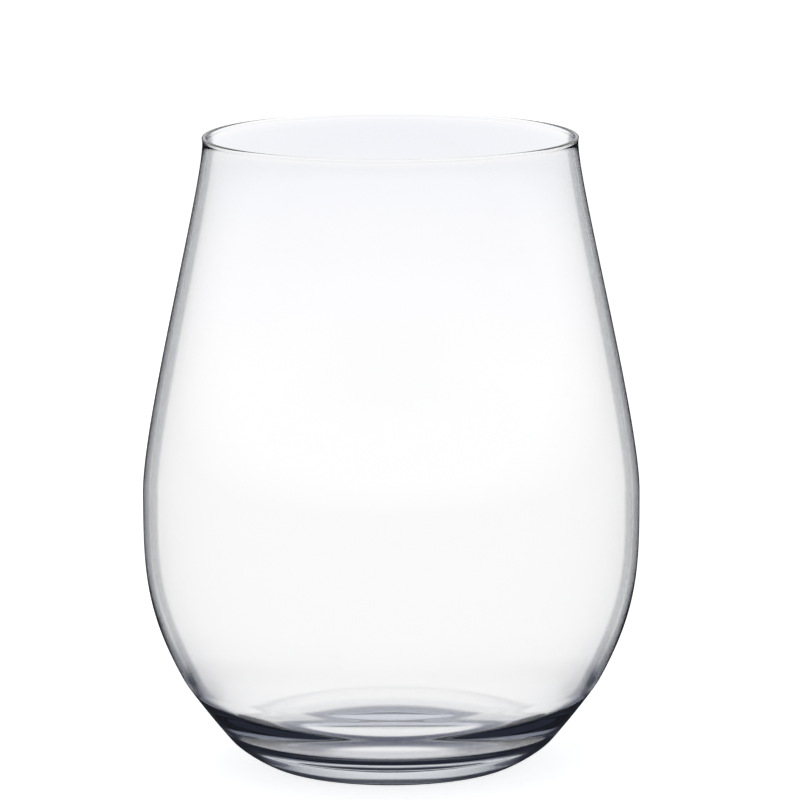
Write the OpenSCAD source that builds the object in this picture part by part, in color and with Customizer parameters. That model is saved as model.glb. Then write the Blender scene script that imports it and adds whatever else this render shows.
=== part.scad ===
// A large stemless wine glass, blown in one piece of clear glass.
// It stands on +Z, with its origin at the middle of the table under it.
// The whole body is one outline turned about the axis: the outside is drawn down from the rim to
// the foot, then the hollow under the base, then the inside back up from the floor to the rim.

/* [Bowl] */
// Height of the rim above the table
glass_h = 121; // [100:0.5:145]
// Outer diameter at the rim
rim_d = 71.6; // [60:0.2:84]
// Lean of the wall at the rim, in degrees from upright
rim_lean = 20.5; // [6:0.1:28]
// Outer diameter at the belly, where the bowl is widest
belly_d = 95; // [86:0.5:108]
// Height of the belly above the table
belly_h = 52.5; // [45:0.1:62]
// Outer diameter at the shoulder, where the bowl runs into the base
shoulder_d = 80.4; // [76:0.2:85]
// Height of that shoulder above the table
shoulder_h = 16.9; // [15:0.1:22]
// Lean of the wall at that shoulder, in degrees from upright
shoulder_lean = 28.3; // [20:0.1:36]

/* [Glass thickness] */
// Wall at the rim
rim_wall = 1; // [0.7:0.05:1.6]
// Wall at the belly
belly_wall = 1.4; // [1:0.05:2.4]
// Wall at the shoulder
shoulder_wall = 1.6; // [1.4:0.05:2.4]
// Level thickness of the wall at the knee, where the inside turns in to the floor
knee_wall = 2.8; // [2.2:0.1:4.5]
// Glass between the floor of the bowl and the hollow under the base, at the middle
floor_wall = 5.6; // [4:0.1:6.4]

/* [Base] */
// Height of the knee above the table
knee_h = 8; // [7.8:0.1:11]
// Lean of the inside at the knee, in degrees from upright
knee_lean = 34.5; // [31:0.5:44]
// Outer diameter at the heel, where the wall turns in under the base
heel_d = 62; // [58:0.2:66]
// Height of the heel above the table
heel_h = 4.9; // [4:0.1:6]
// Lean of the wall at the heel, in degrees from upright
heel_lean = 43.5; // [38:0.5:52]
// Outer diameter of the flat band that touches the table
foot_d = 43.6; // [38:0.2:48]
// Width of that band
foot_band = 3.6; // [1.6:0.1:5]
// Radius that rounds its outer edge
foot_round = 7.3; // [3:0.1:9]
// Steepness of the underside where that rounding starts, in degrees from level
foot_rise = 12.7; // [8:0.1:20]
// Depth of the shallow hollow under the base
hollow_h = 0.9; // [0.5:0.1:1.2]

/* [Hidden] */

// How far each bend of the outline pulls on its curve, as a share of the stretch that it bends
rim_pull_share = 0.06;
belly_up_share = 0.21;
belly_down_share = 0.4;
shoulder_up_share = 0.43;
shoulder_down_share = 0.16;
heel_up_share = 0.16;
heel_down_share = 0.28;
foot_pull_share = 0.19;
inner_down_share = 0.5;
knee_up_share = 0.45;
corner_pull_share = 1.15;
floor_pull_share = 0.87;
hollow_edge_share = 0.45;
hollow_middle_share = 0.35;

// Steps that each stretch of curve is drawn in
wall_steps = 30;
heel_steps = 18;
foot_steps = 12;
knee_steps = 8;
floor_steps = 24;
hollow_steps = 14;
lip_steps = 10;
turn_steps = 180;

rim_r = rim_d / 2;
belly_r = belly_d / 2;
shoulder_r = shoulder_d / 2;
heel_r = heel_d / 2;
foot_r = foot_d / 2;
floor_h = hollow_h + floor_wall;

// The way along the wall at each station, and the way in through it
down_at_rim = [sin(rim_lean), -cos(rim_lean)];
down_at_belly = [0, -1];
down_at_shoulder = [-sin(shoulder_lean), -cos(shoulder_lean)];
down_at_heel = [-sin(heel_lean), -cos(heel_lean)];
down_at_knee = [-sin(knee_lean), -cos(knee_lean)];
up_at_foot = [cos(foot_rise), sin(foot_rise)];
inward_at_rim = [-cos(rim_lean), -sin(rim_lean)];
inward_at_shoulder = [-cos(shoulder_lean), sin(shoulder_lean)];

lip_r = rim_wall / 2;
lip_centre = [rim_r, glass_h - lip_r] - [lip_r, 0];
rim_out = lip_centre - lip_r * inward_at_rim;
rim_in = lip_centre + lip_r * inward_at_rim;
belly_out = [belly_r, belly_h];
belly_in = [belly_r - belly_wall, belly_h];
shoulder_out = [shoulder_r, shoulder_h];
shoulder_in = shoulder_out + shoulder_wall * inward_at_shoulder;
heel_out = [heel_r, heel_h];

upper_span = glass_h - belly_h;
lower_span = belly_h - shoulder_h;
heel_span = norm(shoulder_out - heel_out);

// One point of a cubic curve from a to d that leaves along a-b and arrives along c-d
function curve_point(a, b, c, d, t) =
    pow(1 - t, 3) * a + 3 * pow(1 - t, 2) * t * b + 3 * (1 - t) * pow(t, 2) * c + pow(t, 3) * d;

// The points of such a curve after its first one
function curve(a, b, c, d, steps) = [for (i = [1:steps]) curve_point(a, b, c, d, i / steps)];

// The points of an arc about a centre, from one angle to another
function arc(centre, r, from, to, steps) =
    [for (i = [0:steps]) let (a = from + (to - from) * i / steps) centre + r * [cos(a), sin(a)]];

// How far a bend pulls its curve: a share of the stretch, but never out past the belly
function pull(share, span, room, lean) = min(share * span, room / sin(lean));

// The wall from the rim down to the shoulder, inside or outside, with the lean of the outside
function wall_line(rim, belly, shoulder) =
    let (
        rim_pull = pull(rim_pull_share, upper_span, belly.x - rim.x, rim_lean),
        shoulder_pull = pull(shoulder_up_share, lower_span, belly.x - shoulder.x, shoulder_lean)
    )
    concat(
        curve(rim, rim + rim_pull * down_at_rim,
              belly - belly_up_share * upper_span * down_at_belly, belly, wall_steps),
        curve(belly, belly + belly_down_share * lower_span * down_at_belly,
              shoulder - shoulder_pull * down_at_shoulder, shoulder, wall_steps));

function reversed(points) = [for (i = [len(points) - 1:-1:0]) points[i]];

// The rounded outer edge of the foot, from the underside of the heel down to the table
foot_edge_arc = arc([foot_r, foot_round], foot_round, -90 + foot_rise, -90, lip_steps);
foot_start = foot_edge_arc[0];
foot_inner = [foot_r - foot_band, 0];
foot_span = norm(heel_out - foot_start);

heel_line = concat(
    curve(shoulder_out, shoulder_out + shoulder_down_share * heel_span * down_at_shoulder,
          heel_out - heel_up_share * heel_span * down_at_heel, heel_out, heel_steps),
    curve(heel_out, heel_out + heel_down_share * foot_span * down_at_heel,
          foot_start + foot_pull_share * foot_span * up_at_foot, foot_start, foot_steps));

hollow_line = curve(
    foot_inner,
    foot_inner + [-hollow_edge_share * foot_inner.x, hollow_h],
    [hollow_middle_share * foot_inner.x, hollow_h],
    [0, hollow_h], hollow_steps);

// The knee stands in from the outside at its own height
outer_r_at_knee = lookup(knee_h, [for (p = heel_line) [p.y, p.x]]);
knee_in = [outer_r_at_knee - knee_wall, knee_h];
knee_span = norm(shoulder_in - knee_in);
knee_drop = knee_h - floor_h;

// The inside from the shoulder down to the knee, and on round to the middle of the floor
floor_line = concat(
    curve(shoulder_in, shoulder_in + inner_down_share * knee_span * down_at_shoulder,
          knee_in - knee_up_share * knee_span * down_at_knee, knee_in, knee_steps),
    curve(knee_in, knee_in + corner_pull_share * knee_drop * down_at_knee,
          [floor_pull_share * knee_in.x, floor_h], [0, floor_h], floor_steps));

lip_line = arc(lip_centre, lip_r, 180 + rim_lean, rim_lean, lip_steps);

outside = concat(wall_line(rim_out, belly_out, shoulder_out), heel_line, foot_edge_arc);
inside = concat(wall_line(rim_in, belly_in, shoulder_in), floor_line);

module wine_glass() {
    color("aliceblue", 0.35)
        rotate_extrude($fn = turn_steps)
            polygon(concat(lip_line, outside, [foot_inner], hollow_line, reversed(inside)));
}

wine_glass();
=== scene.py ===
"""A stemless wine glass on a pale table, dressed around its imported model.

The whole glass is one body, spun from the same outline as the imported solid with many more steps, so that its curves
bend light the way polished glass does. The stage is a pale table in a plain studio.
"""

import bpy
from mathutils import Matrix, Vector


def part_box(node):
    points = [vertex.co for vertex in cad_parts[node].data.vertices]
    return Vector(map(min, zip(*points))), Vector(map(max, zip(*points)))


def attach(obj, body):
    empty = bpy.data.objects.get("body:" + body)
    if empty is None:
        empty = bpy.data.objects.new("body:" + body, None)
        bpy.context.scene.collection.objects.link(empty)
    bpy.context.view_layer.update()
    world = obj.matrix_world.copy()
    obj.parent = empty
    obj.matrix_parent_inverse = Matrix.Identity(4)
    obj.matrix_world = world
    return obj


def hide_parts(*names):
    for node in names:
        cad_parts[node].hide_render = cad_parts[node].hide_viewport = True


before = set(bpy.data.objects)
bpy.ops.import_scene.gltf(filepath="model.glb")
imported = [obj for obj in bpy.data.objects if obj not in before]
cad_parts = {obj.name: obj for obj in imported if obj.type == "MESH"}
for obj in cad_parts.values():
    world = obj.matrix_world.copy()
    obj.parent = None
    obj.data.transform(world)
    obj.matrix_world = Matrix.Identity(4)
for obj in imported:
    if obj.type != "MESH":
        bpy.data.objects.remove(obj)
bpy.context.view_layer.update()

import math

import bpy
import numpy as np
from mathutils import Matrix

bl_info = {
    "name": "Stemless wine glass",
    "version": (1, 0, 0),
    "blender": (4, 5, 0),
    "location": "View3D > Sidebar > Wine glass",
    "description": "Spins a stemless wine glass and sets it on a lit table",
    "category": "Add Mesh",
}

NODE = "wine_glass"
BODY = "root"
MM = 0.001

# How far each bend of the outline pulls on its curve, as a share of the stretch that it bends
RIM_PULL = 0.06
BELLY_UP = 0.21
BELLY_DOWN = 0.4
SHOULDER_UP = 0.43
SHOULDER_DOWN = 0.16
HEEL_UP = 0.16
HEEL_DOWN = 0.28
FOOT_PULL = 0.19
INNER_DOWN = 0.5
KNEE_UP = 0.45
CORNER_PULL = 1.15
FLOOR_PULL = 0.87
HOLLOW_EDGE = 0.45
HOLLOW_MIDDLE = 0.35

# Steps round the axis, along each curve before it is spaced again, and along each small arc
TURN_STEPS = 256
CURVE_STEPS = 300
ARC_STEPS = 16

# How far apart the rings of the mesh are: in the lip, in the base, and up the bowl
LIP_GAP = 0.12 * MM
BASE_GAP = 0.32 * MM
BOWL_GAP = 1.22 * MM
LIP_FROM = 119 * MM
BASE_TO = 16 * MM
BOWL_FROM = 40 * MM
ON_AXIS = 1e-9

# The table reaches this far each way, and lies a hair under the foot
TABLE_REACH = 3.0
TABLE_DROP = 0.05 * MM

# The soft box hangs over the glass, a little behind it and to its left
LAMP_SIZE = 0.9
LAMP_WATTS = 3.0
LAMP_PLACE = (-0.25, 0.2, 1.1)
LAMP_TILT = (math.radians(-10), math.radians(-12), 0)

# The picture's width, where the axis of the glass stands in it, and the camera's focal length, all in its pixels
FRAME_PX = 800
AXIS_PX = 390.9
CAMERA_FOCAL_PX = 6375.96
CAMERA_ROLL = 0.0026

# Glass turns light many times over before it lets it go
LIGHT_BOUNCES = 32

WHITE = "#FFFFFF"
# What light that was turned more than four times brings back from anywhere
FAINT = "#282B36"
# The ways that light can come in, by how often the glass turned it
TURNS = ("straight", "once", "twice", "thrice", "four_times")

# Painted shade on the glass by how far its skin turns away, from facing at 0 to edge on at 1: the colour greys
# towards edge on
PAINTED_EDGE_SHADE = [(0.0, WHITE), (0.74, WHITE), (0.79, "#A9ACB3"), (0.88, "#9C9FA8"), (0.94, "#5A5C66"), (1.0, "#4A4C55")]

# The room by the way that light comes in, and by the height of that way, from straight down at 0 to straight up at 2
ROOM = {
    "camera": WHITE,
    "straight": WHITE,
    "once": WHITE,
    "twice": [
        (0.0, "#F4F7FF"), (1.0, "#F4F7FF"), (1.17, "#D4DAE6"), (1.34, "#B8C0D0"), (1.57, "#959DAE"),
        (1.77, "#7C8290"), (1.9, "#5C616C"), (2.0, "#3A3E48")],
    "thrice": [
        (0.0, "#3A3D48"), (1.205, "#3A3D48"), (1.23, "#ECEDF0"), (1.46, "#F2F3F6"), (1.52, "#A4A8B4"),
        (1.7, "#7A7E88"), (1.87, "#34373F"), (2.0, "#34373F")],
    "four_times": [
        (0.0, "#30333A"), (1.45, "#30333A"), (1.56, "#70737E"), (1.7, "#8A8D98"), (1.87, "#8A8D98"),
        (1.96, "#D0D3DA"), (2.0, WHITE)],
    "often": FAINT,
    "mirrored": [(0.0, "#2C2E33"), (1.0, "#2C2E33"), (1.12, WHITE), (2.0, WHITE)],
    "diffuse": "#BCBCBC",
}

# Painted light and shade on the table, which only rays off or through the glass see, by the way that light comes in,
# and by the distance in millimetres from the middle of the glass
TABLE_PAINTED_LIGHT_AND_SHADE = {
    "once": [
        (0, "#30343F"), (38, "#30343F"), (45, "#B4B8C2"), (54, "#B4B8C2"), (58, "#6E717A"),
        (62, "#7C7F88"), (68, "#DADCE0"), (90, WHITE), (100, WHITE)],
    "twice": [
        (0, "#E4E8F4"), (34, "#E4E8F4"), (36.7, "#CCD0E0"), (37.7, "#3C4058"), (41, "#3C4058"),
        (48, "#444858"), (62, "#DADCE0"), (80, WHITE), (100, WHITE)],
    "thrice": [
        (0, "#2A2D38"), (27.5, "#2A2D38"), (30.5, "#9095A4"), (36, "#9095A4"),
        (42, "#2A2D34"), (62, "#2A2D34"), (80, "#C4C7CC"), (100, WHITE)],
    "four_times": [
        (0, WHITE), (20, WHITE), (26, "#5A5E6C"), (40, "#5A5E6C"), (48, "#A2A7B6"),
        (58, "#A2A7B6"), (90, "#5A5C64"), (100, "#5A5C64")],
    "often": FAINT,
    "mirrored": "#2C2E33",
}
# Straight through the glass, a shadow is painted on the table under the foot, and far behind the glass painted shade
# dims and cools the table a little
PAINTED_FOOT_SHADOW = [
    (0, "#FDFEFF"), (16.2, "#FDFEFF"), (18.4, "#565D78"), (20.3, "#3E4560"), (21.6, "#4C536C"),
    (24.6, WHITE), (26, WHITE)]
PAINTED_FAR_SHADE = [
    (0, WHITE), (450, WHITE), (590, "#FDFCFF"), (700, "#FAFAFD"), (780, "#F6F7FB"), (900, "#F1F3F8"),
    (1000, "#EEF1F6")]


def linear(hex_colour):
    """The linear colour of an sRGB hex value, as three shares."""
    shares = [int(hex_colour[k:k + 2], 16) / 255 for k in (1, 3, 5)]
    return tuple(s / 12.92 if s <= 0.04045 else ((s + 0.055) / 1.055) ** 2.4 for s in shares)


def length(name, millimetres, description):
    """A length property that is given in millimetres and kept in metres."""
    return bpy.props.FloatProperty(
        name=name, description=description, default=millimetres * MM, min=0.0, unit="LENGTH", precision=5)


def angle(name, degrees, description):
    """An angle property that is given in degrees and kept in radians."""
    return bpy.props.FloatProperty(
        name=name, description=description, default=math.radians(degrees), subtype="ANGLE", unit="ROTATION")


def colour(name, hex_colour, description):
    """A colour property that is given as an sRGB hex value."""
    return bpy.props.FloatVectorProperty(
        name=name, description=description, default=linear(hex_colour), min=0.0, max=1.0, subtype="COLOR")


class BowlSizes(bpy.types.PropertyGroup):
    """The outside of the bowl."""

    glass_h: length("Height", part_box(NODE)[1].z / MM, "Height of the rim above the table")
    rim_d: length("Rim", 71.6, "Outer diameter at the rim")
    rim_lean: angle("Rim lean", 20.5, "Lean of the wall at the rim from upright")
    belly_d: length("Belly", 95.0, "Outer diameter where the bowl is widest")
    belly_h: length("Belly height", 52.5, "Height of the widest place above the table")
    shoulder_d: length("Shoulder", 80.4, "Outer diameter where the base begins")
    shoulder_h: length("Shoulder height", 16.9, "Height of the shoulder above the table")
    shoulder_lean: angle("Shoulder lean", 28.3, "Lean of the wall at the shoulder from upright")


class WallSizes(bpy.types.PropertyGroup):
    """The thickness of the glass."""

    rim_wall: length("Rim wall", 1.0, "Wall at the rim")
    belly_wall: length("Belly wall", 1.4, "Wall at the belly")
    shoulder_wall: length("Shoulder wall", 1.6, "Wall at the shoulder")
    knee_wall: length("Knee wall", 2.8, "Level thickness of the wall where the inside turns in to the floor")
    floor_wall: length("Floor", 5.6, "Glass between the floor and the hollow at the middle")


class BaseSizes(bpy.types.PropertyGroup):
    """The base of the glass."""

    knee_h: length("Knee height", 8.0, "Height of the inside knee above the table")
    knee_lean: angle("Knee lean", 34.5, "Lean of the inside at the knee from upright")
    heel_d: length("Heel", 62.0, "Outer diameter where the wall turns in under the base")
    heel_h: length("Heel height", 4.9, "Height of the heel above the table")
    heel_lean: angle("Heel lean", 43.5, "Lean of the wall at the heel from upright")
    foot_d: length("Foot", 43.6, "Outer diameter of the band that touches the table")
    foot_band: length("Foot band", 3.6, "Width of that band")
    foot_round: length("Foot rounding", 7.3, "Radius that rounds its outer edge")
    foot_rise: angle("Foot rise", 12.7, "Steepness of the underside where that rounding starts")
    hollow_h: length("Hollow", 0.9, "Depth of the hollow under the base")


class GlassFinish(bpy.types.PropertyGroup):
    """The finish of the glass."""

    depth_tint: colour("Depth tint", "#DDE8F0", "Colour that thick glass turns to")
    depth: bpy.props.FloatProperty(
        name="Depth of tint", description="How fast thick glass takes that colour", default=4.0, min=0.0)
    shadow: colour("Shadow tint", "#F2F5F7", "Colour that each face of the glass lets a lamp's light keep")
    bend: bpy.props.FloatProperty(
        name="IOR", description="How strongly the glass bends light", default=1.52, min=1.0, max=2.0)


class StudioLook(bpy.types.PropertyGroup):
    """The table and the camera."""

    table: colour("Table", "#F4F4F4", "Colour of the table")
    fill: bpy.props.FloatProperty(
        name="Table fill", description="How much light of its own the table shows the camera",
        default=0.58, min=0.0, max=1.0, subtype="FACTOR")
    camera_distance: length("Camera distance", 1200.0, "Level distance of the camera from the glass")
    camera_height: length("Camera height", 272.713, "Height of the camera above the table")
    camera_tilt: angle("Camera tilt", 9.58234, "How far the camera looks down")


def curve(a, b, c, d):
    """The points of a cubic curve from a to d, after its first one."""
    a, b, c, d = (np.array(p, float) for p in (a, b, c, d))
    t = (np.arange(1, CURVE_STEPS + 1) / CURVE_STEPS)[:, None]
    return (1 - t) ** 3 * a + 3 * (1 - t) ** 2 * t * b + 3 * (1 - t) * t ** 2 * c + t ** 3 * d


def arc(centre, radius, start, end):
    """The points of an arc about a centre, from one angle to another."""
    a = np.linspace(start, end, ARC_STEPS + 1)
    return np.array(centre) + radius * np.stack([np.cos(a), np.sin(a)], 1)


def down(lean):
    """The way down along a wall that leans in by this angle."""
    return np.array([-math.sin(lean), -math.cos(lean)])


def wall_line(bowl, rim, belly, shoulder):
    """The wall from the rim past the belly down to the shoulder, inside or outside."""
    upper = bowl.glass_h - bowl.belly_h
    lower = bowl.belly_h - bowl.shoulder_h
    rim_pull = min(RIM_PULL * upper, (belly[0] - rim[0]) / math.sin(bowl.rim_lean))
    low_pull = min(SHOULDER_UP * lower, (belly[0] - shoulder[0]) / math.sin(bowl.shoulder_lean))
    return np.vstack([
        curve(rim, rim + rim_pull * down(bowl.rim_lean), belly - BELLY_UP * upper * down(0), belly),
        curve(belly, belly + BELLY_DOWN * lower * down(0),
              shoulder - low_pull * down(bowl.shoulder_lean), shoulder)])


def heel_line(bowl, base, shoulder, foot_start):
    """The outside from the shoulder past the heel down to where the foot is rounded."""
    heel = np.array([base.heel_d / 2, base.heel_h])
    heel_span = np.hypot(*(shoulder - heel))
    foot_span = np.hypot(*(heel - foot_start))
    up_at_foot = np.array([math.cos(base.foot_rise), math.sin(base.foot_rise)])
    return np.vstack([
        curve(shoulder, shoulder + SHOULDER_DOWN * heel_span * down(bowl.shoulder_lean),
              heel - HEEL_UP * heel_span * down(base.heel_lean), heel),
        curve(heel, heel + HEEL_DOWN * foot_span * down(base.heel_lean),
              foot_start + FOOT_PULL * foot_span * up_at_foot, foot_start)])


def floor_line(bowl, base, shoulder_in, knee, floor):
    """The inside from the shoulder past the knee to the middle of the floor."""
    knee_span = np.hypot(*(shoulder_in - knee))
    drop = knee[1] - floor[1]
    return np.vstack([
        curve(shoulder_in, shoulder_in + INNER_DOWN * knee_span * down(bowl.shoulder_lean),
              knee - KNEE_UP * knee_span * down(base.knee_lean), knee),
        curve(knee, knee + CORNER_PULL * drop * down(base.knee_lean),
              [FLOOR_PULL * knee[0], floor[1]], floor)])


def outline(bowl, wall, base):
    """The outside from the rim down to the middle of the hollow, and the inside from the floor up to the rim."""
    lip = wall.rim_wall / 2
    lip_centre = np.array([bowl.rim_d / 2 - lip, bowl.glass_h - lip])
    outward = np.array([math.cos(bowl.rim_lean), math.sin(bowl.rim_lean)])
    lip_line = arc(lip_centre, lip, math.pi + bowl.rim_lean, bowl.rim_lean)

    belly = np.array([bowl.belly_d / 2, bowl.belly_h])
    shoulder = np.array([bowl.shoulder_d / 2, bowl.shoulder_h])
    foot_r = base.foot_d / 2
    foot_edge = arc((foot_r, base.foot_round), base.foot_round, -math.pi / 2 + base.foot_rise, -math.pi / 2)
    heel = heel_line(bowl, base, shoulder, foot_edge[0])
    band_in = np.array([foot_r - base.foot_band, 0.0])
    hollow = curve(band_in, band_in + [-HOLLOW_EDGE * band_in[0], base.hollow_h],
                   [HOLLOW_MIDDLE * band_in[0], base.hollow_h], [0.0, base.hollow_h])
    outer_wall = wall_line(bowl, lip_centre + lip * outward, belly, shoulder)
    outside = np.vstack([lip_line, outer_wall, heel, foot_edge[1:], [band_in], hollow])

    inward = np.array([-math.cos(bowl.shoulder_lean), math.sin(bowl.shoulder_lean)])
    shoulder_in = shoulder + wall.shoulder_wall * inward
    outer_r_at_knee = np.interp(-base.knee_h, -heel[:, 1], heel[:, 0])
    knee = np.array([outer_r_at_knee - wall.knee_wall, base.knee_h])
    floor = np.array([0.0, base.hollow_h + wall.floor_wall])
    inner_wall = wall_line(bowl, lip_centre - lip * outward, belly - [wall.belly_wall, 0], shoulder_in)
    inside = np.vstack([lip_line[:1], inner_wall, floor_line(bowl, base, shoulder_in, knee, floor)])[::-1]
    return outside, inside


def gap_at(height):
    """How far apart the rings of the mesh are at a height."""
    if height > LIP_FROM:
        return LIP_GAP
    return float(np.interp(height, [BASE_TO, BOWL_FROM], [BASE_GAP, BOWL_GAP]))


def evenly(points):
    """The same line with its points as far apart as the rings are there, so that smooth shading stays true."""
    steps = np.hypot(*np.diff(points, axis=0).T)
    along = np.r_[0, np.cumsum(steps)]
    gap = np.array([gap_at(height) for height in points[:, 1]])
    density = np.r_[0, np.cumsum(steps / (0.5 * (gap[1:] + gap[:-1])))]
    count = max(2, int(round(density[-1])))
    at = np.interp(np.linspace(0, density[-1], count + 1), density, along)
    return np.stack([np.interp(at, along, points[:, 0]), np.interp(at, along, points[:, 1])], 1)


def spin(name, outside, inside):
    """A closed mesh, turned from the outline about the axis."""
    rings = np.vstack([outside, inside[:-1]])
    turn = np.arange(TURN_STEPS) * 2 * math.pi / TURN_STEPS
    verts, first = [], []
    for radius, height in rings:
        first.append(len(verts))
        if radius < ON_AXIS:
            verts.append((0.0, 0.0, height))
        else:
            verts += [(radius * math.cos(a), radius * math.sin(a), height) for a in turn]
    faces = []
    for k, start in enumerate(first):
        following = (k + 1) % len(first)
        after = first[following]
        ends_here = rings[k][0] < ON_AXIS
        ends_next = rings[following][0] < ON_AXIS
        if ends_here and ends_next:
            continue
        for j in range(TURN_STEPS):
            i = (j + 1) % TURN_STEPS
            if ends_here:
                faces.append((start, after + j, after + i))
            elif ends_next:
                faces.append((start + i, start + j, after))
            else:
                faces.append((start + i, start + j, after + j, after + i))
    mesh = bpy.data.meshes.new(name)
    mesh.from_pydata(verts, [], faces)
    mesh.shade_smooth()
    mesh.update()
    return mesh


def add(tree, kind, links=None, values=None, **settings):
    """Adds one node with its settings, its values by socket and its links by socket."""
    node = tree.nodes.new(kind)
    for key, value in settings.items():
        setattr(node, key, value)
    for key, value in (values or {}).items():
        node.inputs[key].default_value = value
    for key, source in (links or {}).items():
        tree.links.new(source, node.inputs[key])
    return node


def blank_material(name):
    """A new material and its empty node tree."""
    material = bpy.data.materials.new(name)
    material.use_nodes = True
    material.node_tree.nodes.clear()
    return material, material.node_tree


def sums(tree, operation, *terms):
    """One step of arithmetic on numbers and sockets."""
    node = add(tree, "ShaderNodeMath", operation=operation)
    for k, term in enumerate(terms):
        if isinstance(term, (int, float)):
            node.inputs[k].default_value = term
        else:
            tree.links.new(term, node.inputs[k])
    return node.outputs[0]


def bands(tree, source, stops):
    """A colour that changes with a number: pairs of the number and an sRGB hex value."""
    top = stops[-1][0]
    node = add(tree, "ShaderNodeValToRGB", links={0: sums(tree, "DIVIDE", source, top)})
    line = node.color_ramp
    while len(line.elements) < len(stops):
        line.elements.new(1.0)
    for element, (at, hex_colour) in zip(line.elements, stops):
        element.position = at / top
        element.color = (*linear(hex_colour), 1.0)
    return node.outputs[0]


def ray_shares(tree):
    """Which way light came, as shares of one: seen by the camera, straight through the glass, turned once, twice,
    three times, four times or more often inside it, mirrored off its outside, or scattered by a matt surface."""
    path = add(tree, "ShaderNodeLightPath").outputs
    scattered = sums(tree, "GREATER_THAN", path["Diffuse Depth"], 0.5)
    through = sums(tree, "SUBTRACT", sums(tree, "GREATER_THAN", path["Transmission Depth"], 0.5), scattered)
    through = sums(tree, "MAXIMUM", through, 0.0)
    turns = path["Glossy Depth"]
    shares = {"camera": path["Is Camera Ray"], "diffuse": scattered}
    for count, name in enumerate(TURNS):
        shares[name] = sums(tree, "MULTIPLY", through, sums(tree, "COMPARE", turns, float(count), 0.5))
    shares["often"] = sums(tree, "MULTIPLY", through, sums(tree, "GREATER_THAN", turns, len(TURNS) - 0.5))
    others = sums(tree, "ADD", through, scattered)
    shares["mirrored"] = sums(
        tree, "MULTIPLY", sums(tree, "SUBTRACT", 1.0, others), sums(tree, "GREATER_THAN", turns, 0.5))
    return shares


def mixed_light(tree, shares, lights, number):
    """One colour out of the lights by the way that light came. A light is a socket, an sRGB hex value, or bands by
    the number."""
    total = None
    for name, light in lights.items():
        part = add(tree, "ShaderNodeVectorMath", operation="SCALE", links={"Scale": shares[name]})
        if isinstance(light, str):
            part.inputs[0].default_value = linear(light)
        else:
            tree.links.new(bands(tree, number, light) if isinstance(light, list) else light, part.inputs[0])
        total = part.outputs[0] if total is None else add(
            tree, "ShaderNodeVectorMath", operation="ADD", links={0: total, 1: part.outputs[0]}).outputs[0]
    return total


def blown_crystal(finish):
    """Lead-free crystal, blown and fire-polished: colourless and mirror smooth, with a faint cool depth where it is
    thick, and with painted shade that greys its colour where its walls turn edge on."""
    material, tree = blank_material("blown_crystal_with_painted_edge_shade")
    # Painted shade: the base colour greys where the wall turns edge on, to darken the outline of the glass
    facing = add(tree, "ShaderNodeLayerWeight", values={"Blend": 0.5}).outputs["Facing"]
    glass = add(tree, "ShaderNodeBsdfPrincipled", links={"Base Color": bands(tree, facing, PAINTED_EDGE_SHADE)}, values={
        "Roughness": 0.0, "IOR": finish.bend, "Transmission Weight": 1.0})
    # Lamps shine on through clear glass, and leave only a faint shadow
    lamp_ray = add(tree, "ShaderNodeLightPath").outputs["Is Shadow Ray"]
    passed = add(tree, "ShaderNodeBsdfTransparent", values={"Color": (*finish.shadow, 1.0)})
    surface = add(tree, "ShaderNodeMixShader", links={0: lamp_ray, 1: glass.outputs[0], 2: passed.outputs[0]})
    depth = add(tree, "ShaderNodeVolumeAbsorption", values={
        "Color": (*finish.depth_tint, 1.0), "Density": finish.depth})
    add(tree, "ShaderNodeOutputMaterial", links={"Surface": surface.outputs[0], "Volume": depth.outputs[0]})
    return material


def pale_table(look):
    """Matt white laminate: an even pale ground that keeps the soft shadow of the glass. Rays off or through the glass
    see painted light and shade on it instead.
    """
    material, tree = blank_material("matt_white_laminate_with_painted_light")
    shares = ray_shares(tree)
    place = add(tree, "ShaderNodeTexCoord").outputs["Object"]
    metres = add(tree, "ShaderNodeVectorMath", operation="LENGTH", links={0: place}).outputs["Value"]
    distance = sums(tree, "DIVIDE", metres, MM)
    # Painted shadow under the foot and painted shade far behind, for light straight through the glass
    straight = add(tree, "ShaderNodeVectorMath", operation="MULTIPLY", links={
        0: bands(tree, distance, PAINTED_FOOT_SHADOW), 1: bands(tree, distance, PAINTED_FAR_SHADE)}).outputs[0]
    # Painted light and shade that the glass shows of the table, by the way that light came
    painted_table_light = mixed_light(tree, shares, {"straight": straight, **TABLE_PAINTED_LIGHT_AND_SHADE}, distance)
    painted_table_in_glass = add(tree, "ShaderNodeEmission", links={"Color": painted_table_light})
    matt = add(tree, "ShaderNodeBsdfDiffuse", values={"Color": (*look.table, 1.0)})
    fill = add(tree, "ShaderNodeEmission", links={"Strength": sums(tree, "MULTIPLY", shares["camera"], look.fill)},
               values={"Color": (*linear(WHITE), 1.0)})
    lit = add(tree, "ShaderNodeAddShader", links={0: matt.outputs[0], 1: fill.outputs[0]})
    plain = sums(tree, "ADD", shares["camera"], shares["diffuse"])
    surface = add(tree, "ShaderNodeMixShader", links={0: plain, 1: painted_table_in_glass.outputs[0], 2: lit.outputs[0]})
    add(tree, "ShaderNodeOutputMaterial", links={"Surface": surface.outputs[0]})
    return material


def studio_world():
    """The room: white to the camera and through the glass, and dim where the glass turns light aside."""
    world = bpy.data.worlds.new("studio")
    world.use_nodes = True
    tree = world.node_tree
    tree.nodes.clear()
    way = add(tree, "ShaderNodeSeparateXYZ", links={0: add(tree, "ShaderNodeTexCoord").outputs["Generated"]})
    height = sums(tree, "ADD", way.outputs["Z"], 1.0)
    light = mixed_light(tree, ray_shares(tree), ROOM, height)
    background = add(tree, "ShaderNodeBackground", links={"Color": light})
    add(tree, "ShaderNodeOutputWorld", links={"Surface": background.outputs[0]})
    return world


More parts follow.
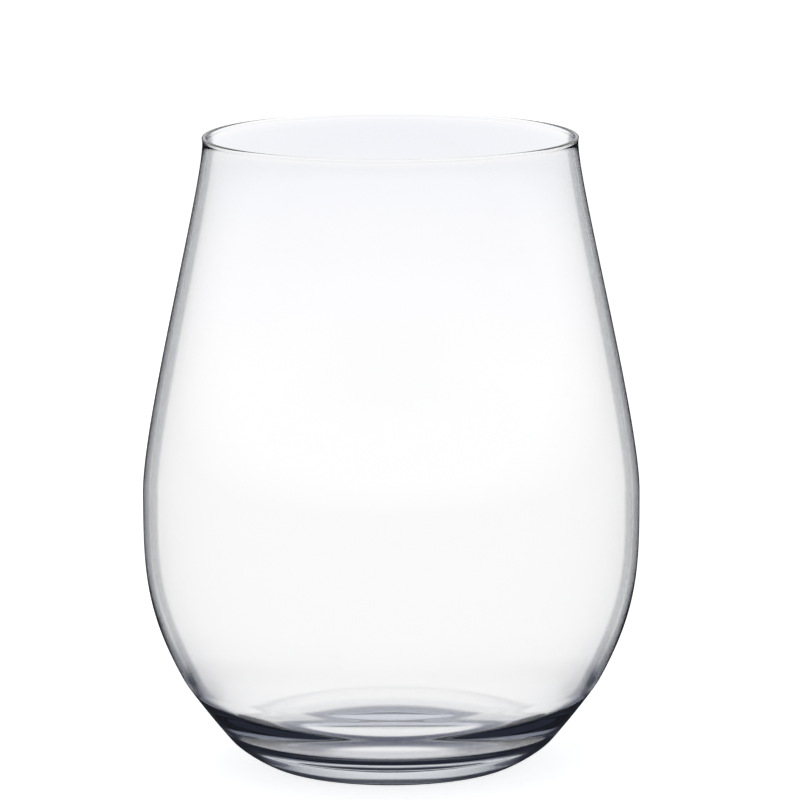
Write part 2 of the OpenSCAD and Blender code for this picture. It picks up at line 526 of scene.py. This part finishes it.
def table_top(scene, look):
    """The table that the glass stands on."""
    mesh = bpy.data.meshes.new("table_top")
    corners = [(x * TABLE_REACH, y * TABLE_REACH, 0) for x, y in ((-1, -1), (1, -1), (1, 1), (-1, 1))]
    mesh.from_pydata(corners, [], [(0, 1, 2, 3)])
    mesh.materials.append(pale_table(look))
    table = bpy.data.objects.new("table_top", mesh)
    table.location.z = -TABLE_DROP
    scene.collection.objects.link(table)


def soft_box(scene):
    """The lamp over the glass, which lights the table and casts the faint shadow, and isn't seen in the glass."""
    lamp = bpy.data.lights.new("soft_box", "AREA")
    lamp.shape = "DISK"
    lamp.size = LAMP_SIZE
    lamp.energy = LAMP_WATTS
    box = bpy.data.objects.new("soft_box", lamp)
    box.location = LAMP_PLACE
    box.rotation_euler = LAMP_TILT
    box.visible_glossy = False
    box.visible_transmission = False
    scene.collection.objects.link(box)


def camera_of_photograph(scene, look):
    """The camera, where the fitted outline puts the photograph's."""
    view = bpy.data.cameras.new("camera")
    view.sensor_width = 36.0
    view.lens = CAMERA_FOCAL_PX / FRAME_PX * view.sensor_width
    camera = bpy.data.objects.new("camera", view)
    yaw = math.atan((FRAME_PX / 2 - AXIS_PX) / CAMERA_FOCAL_PX)
    camera.matrix_world = (
        Matrix.Translation((0, -look.camera_distance, look.camera_height))
        @ Matrix.Rotation(-yaw, 4, "Z")
        @ Matrix.Rotation(math.pi / 2 - look.camera_tilt, 4, "X")
        @ Matrix.Rotation(-CAMERA_ROLL, 4, "Z"))
    scene.collection.objects.link(camera)
    scene.camera = camera


class WINEGLASS_OT_blow_glass(bpy.types.Operator):
    """Spin the whole glass as one piece"""

    bl_idname = "wineglass.blow_glass"
    bl_label = "Blow the glass"

    def execute(self, context):
        scene = context.scene
        outside, inside = outline(scene.glass_bowl, scene.glass_wall, scene.glass_base)
        mesh = spin("glass_body", evenly(outside), evenly(inside))
        mesh.materials.append(blown_crystal(scene.glass_finish))
        body = bpy.data.objects.new("glass_body", mesh)
        scene.collection.objects.link(body)
        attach(body, BODY)
        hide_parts(NODE)
        return {"FINISHED"}


class WINEGLASS_OT_set_stage(bpy.types.Operator):
    """Lay the table and set the studio, the lamp and the camera"""

    bl_idname = "wineglass.set_stage"
    bl_label = "Set the stage"

    def execute(self, context):
        scene = context.scene
        scene.world = studio_world()
        table_top(scene, scene.glass_studio)
        soft_box(scene)
        camera_of_photograph(scene, scene.glass_studio)
        scene.cycles.max_bounces = LIGHT_BOUNCES
        scene.cycles.glossy_bounces = LIGHT_BOUNCES
        scene.cycles.transmission_bounces = LIGHT_BOUNCES
        scene.view_settings.view_transform = "Standard"
        return {"FINISHED"}


GROUPS = {
    "glass_bowl": BowlSizes,
    "glass_wall": WallSizes,
    "glass_base": BaseSizes,
    "glass_finish": GlassFinish,
    "glass_studio": StudioLook,
}
OPERATORS = (WINEGLASS_OT_blow_glass, WINEGLASS_OT_set_stage)


class WINEGLASS_PT_sidebar(bpy.types.Panel):
    """Lists the pieces and their sizes"""

    bl_idname = "WINEGLASS_PT_sidebar"
    bl_label = "Wine glass"
    bl_space_type = "VIEW_3D"
    bl_region_type = "UI"
    bl_category = "Wine glass"

    def draw(self, context):
        for operator in OPERATORS:
            self.layout.operator(operator.bl_idname)
        for key in GROUPS:
            group = getattr(context.scene, key)
            box = self.layout.box()
            for name in group.__annotations__:
                box.prop(group, name)


def register():
    for group in GROUPS.values():
        bpy.utils.register_class(group)
    for operator in OPERATORS:
        bpy.utils.register_class(operator)
    bpy.utils.register_class(WINEGLASS_PT_sidebar)
    for key, group in GROUPS.items():
        setattr(bpy.types.Scene, key, bpy.props.PointerProperty(type=group))


def unregister():
    for key in GROUPS:
        delattr(bpy.types.Scene, key)
    bpy.utils.unregister_class(WINEGLASS_PT_sidebar)
    for operator in reversed(OPERATORS):
        bpy.utils.unregister_class(operator)
    for group in reversed(GROUPS.values()):
        bpy.utils.unregister_class(group)


def main():
    register()
    bpy.ops.wineglass.blow_glass()
    bpy.ops.wineglass.set_stage()


if __name__ == "__main__":
    main()
